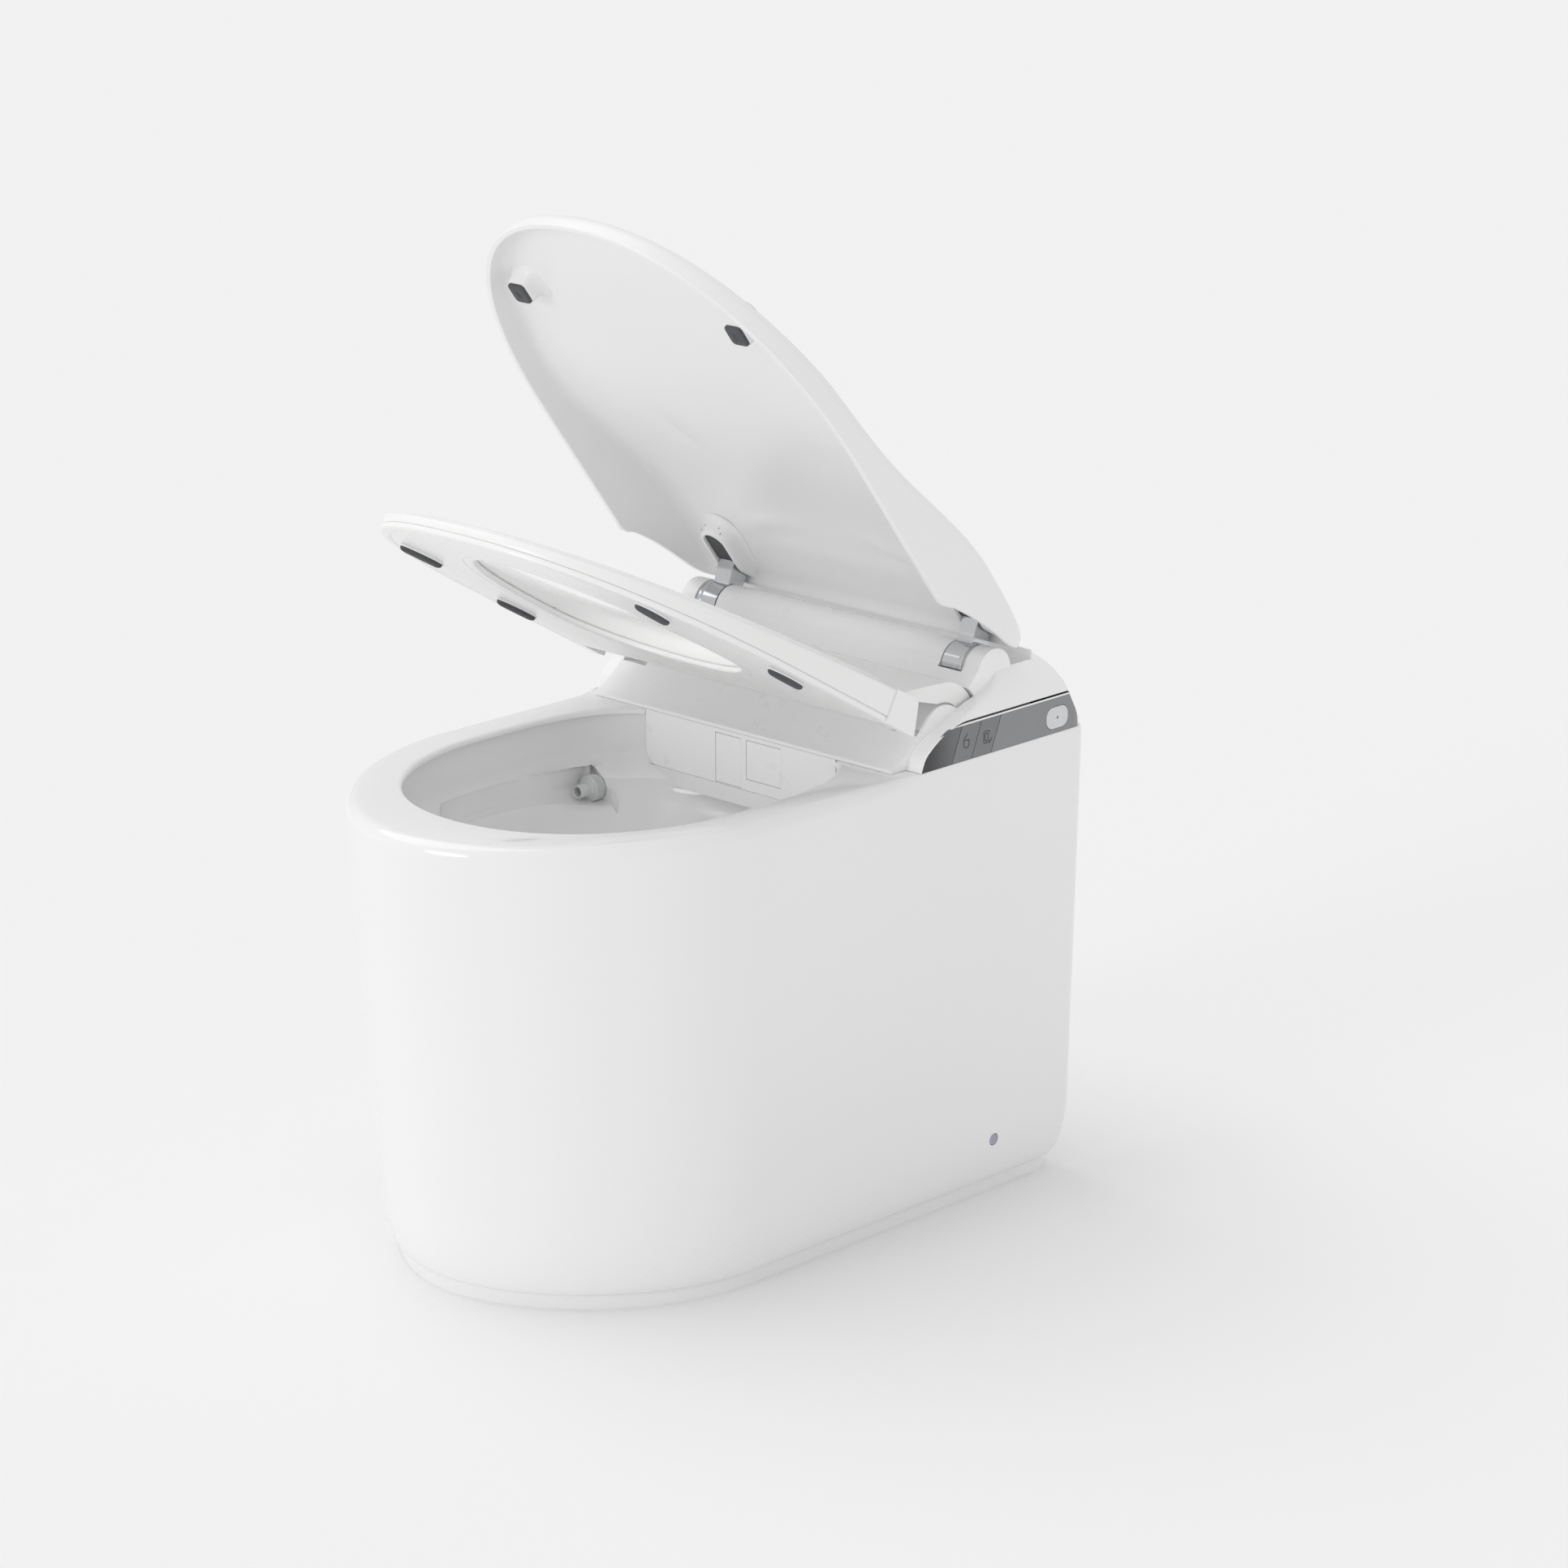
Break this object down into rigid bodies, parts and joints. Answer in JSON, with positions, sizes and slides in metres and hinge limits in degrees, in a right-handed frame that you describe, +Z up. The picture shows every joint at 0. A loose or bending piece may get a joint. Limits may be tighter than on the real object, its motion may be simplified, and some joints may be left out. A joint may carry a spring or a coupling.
{
  "type": "smart toilet",
  "caption": "One-piece skirted smart toilet with a heated seat, motor-driven lid, wash wand, warm-air dryer and side control strip.",
  "frame": {"origin": "floor under the middle of the body", "axes": "+Z up, the bowl faces -Y, the control strip is on +X"},
  "size_m": [0.3856, 0.6156, 0.8623],
  "materials": {
    "glazed_ceramic": "glazed vitreous china, gloss white",
    "white_plastic": "moulded urea or polypropylene, gloss white",
    "housing_plastic": "moulded ABS, satin gloss white",
    "strip_plastic": "dark grey glossy strip",
    "dark_window": "dark tinted display window",
    "dark_rubber": "moulded rubber, dark grey",
    "polished_steel": "polished",
    "plated_steel": "zinc plated",
    "inner_plastic": "moulded grey ABS",
    "drive_plastic": "glass filled nylon, dark",
    "button_plastic": "satin silver button",
    "heater_foil": "etched heating film",
    "board_green": "encapsulated control board",
    "nozzle_plastic": "moulded grey nozzle ring"
  },
  "bodies": {
    "toilet_base": {"ceramic_body": "glazed_ceramic", "ceramic_skirt": "glazed_ceramic", "outlet_pipe": "inner_plastic", "drain_seal": "dark_rubber", "screw_caps": "inner_plastic", "side_screws": "plated_steel", "floor_brackets": "plated_steel", "flush_nozzle": "nozzle_plastic", "flush_pipe": "inner_plastic", "chassis": "inner_plastic", "chassis_bolts": "plated_steel", "housing_cover": "housing_plastic", "front_apron": "housing_plastic", "display_window": "dark_window", "side_strip_right": "strip_plastic", "side_strip_left": "strip_plastic", "lid_drives": "drive_plastic", "seat_drives": "drive_plastic", "wand_guide": "inner_plastic", "wand_motor": "drive_plastic", "dryer_blower": "drive_plastic", "dryer_duct": "inner_plastic", "inlet_fitting": "plated_steel", "water_heater": "white_plastic", "flush_tank": "white_plastic", "flush_pump": "drive_plastic", "control_board": "board_green"},
    "lid": {"lid_shell": "white_plastic", "lid_arm_left": "polished_steel", "lid_arm_right": "polished_steel", "arm_liners": "drive_plastic", "lid_buffers": "dark_rubber", "lid_shafts": "plated_steel"},
    "seat": {"seat_top": "white_plastic", "seat_base": "white_plastic", "seat_heater": "heater_foil", "seat_pads": "dark_rubber", "seat_pins": "plated_steel"},
    "wash_wand": {"wash_wand": "white_plastic", "wand_nozzle": "nozzle_plastic"},
    "nozzle_door": {"nozzle_door": "housing_plastic"},
    "dryer_door": {"dryer_door": "housing_plastic"},
    "lid_key": {"lid_key": "strip_plastic"},
    "seat_key": {"seat_key": "strip_plastic"},
    "flush_button": {"flush_button": "button_plastic"}
  },
  "joints": [
    {"name": "lid_hinge", "type": "hinge", "parent": "toilet_base", "child": "lid", "pos_m": [0, 0.2065, 0.462], "axis": [-1, 0, 0], "range_deg": [-56.4, 33.6]},
    {"name": "seat_hinge", "type": "hinge", "parent": "toilet_base", "child": "seat", "pos_m": [0, 0.1441, 0.42], "axis": [-1, 0, 0], "range_deg": [-30.41, 18.12]},
    {"name": "wand_slide", "type": "slide", "parent": "toilet_base", "child": "wash_wand", "axis": [0, -0.9511, -0.309], "range_m": [0, 0.125]},
    {"name": "nozzle_door_hinge", "type": "hinge", "parent": "toilet_base", "child": "nozzle_door", "pos_m": [-0.013, 0.083, 0.3945], "axis": [-1, 0, 0], "range_deg": [0, 88]},
    {"name": "dryer_door_hinge", "type": "hinge", "parent": "toilet_base", "child": "dryer_door", "pos_m": [0.0285, 0.083, 0.3945], "axis": [-1, 0, 0], "range_deg": [0, 35]},
    {"name": "lid_key_press", "type": "slide", "parent": "toilet_base", "child": "lid_key", "axis": [-1, 0, 0], "range_m": [0, 0.0012], "stiffness_N_per_m": 800},
    {"name": "seat_key_press", "type": "slide", "parent": "toilet_base", "child": "seat_key", "axis": [-1, 0, 0], "range_m": [0, 0.0012], "stiffness_N_per_m": 800},
    {"name": "flush_button_press", "type": "slide", "parent": "toilet_base", "child": "flush_button", "axis": [-1, 0, 0], "range_m": [0, 0.0015], "stiffness_N_per_m": 800}
  ],
  "couplings": [
    {"joint": "seat_hinge", "follows": "lid_hinge", "ratio": 0.53901},
    {"joint": "nozzle_door_hinge", "follows": "wand_slide", "rad_per_m": 12.287}
  ]
}
